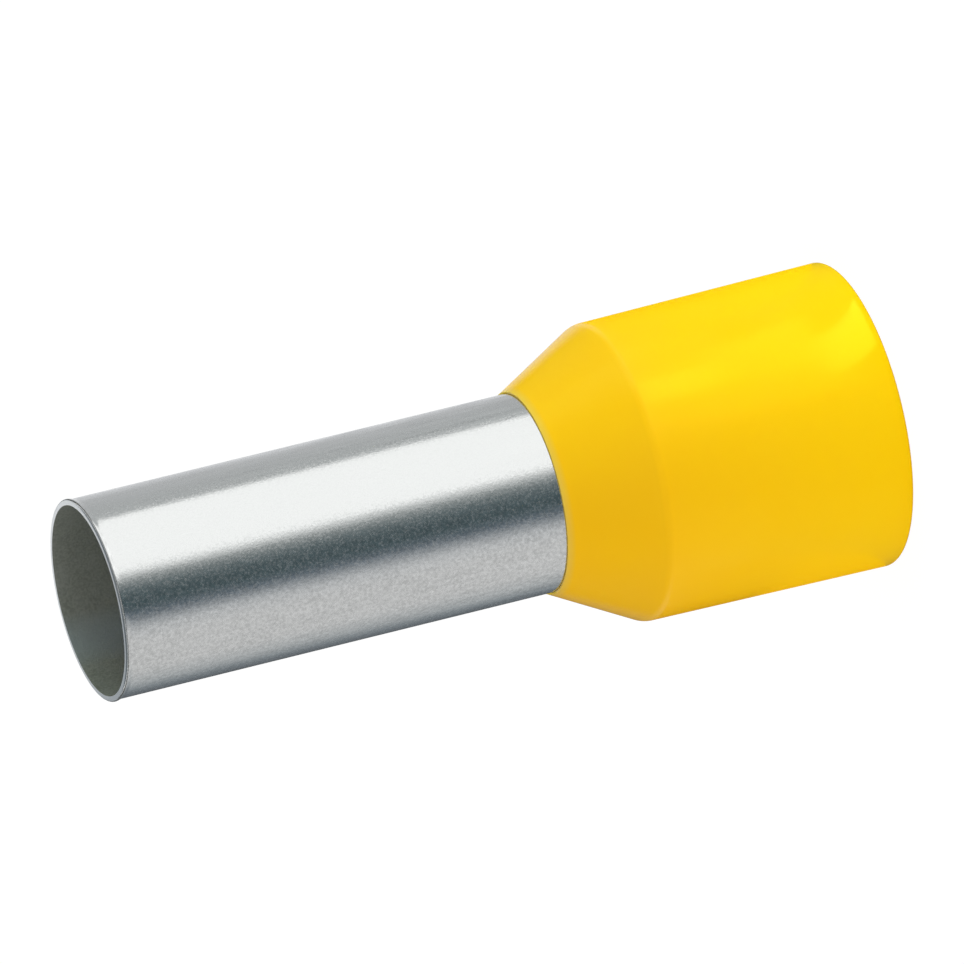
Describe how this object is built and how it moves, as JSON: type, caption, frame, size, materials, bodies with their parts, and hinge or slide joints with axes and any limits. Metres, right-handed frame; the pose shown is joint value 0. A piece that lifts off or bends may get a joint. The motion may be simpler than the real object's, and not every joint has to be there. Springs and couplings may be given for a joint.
{
  "type": "wire ferrule",
  "caption": "Insulated wire end ferrule: open tinned copper tube to crimp on stranded wire, with a tapered yellow plastic collar that takes in the wire's insulation.",
  "frame": {"origin": "centre of the collar's mouth, in the plane of its rim, which the ferrule stands on", "axes": "+Z along the common axis of the sleeve and the collar, from the collar's mouth to the sleeve's tip"},
  "size_m": [0.0118, 0.0118, 0.0311],
  "materials": {
    "tinned_copper": "satin tin plate over copper, slightly mottled",
    "yellow_plastic": "smooth moulded polypropylene with a soft gloss"
  },
  "bodies": {
    "root": {"crimp_sleeve": "tinned_copper", "insulation_collar": "yellow_plastic"}
  },
  "joints": []
}
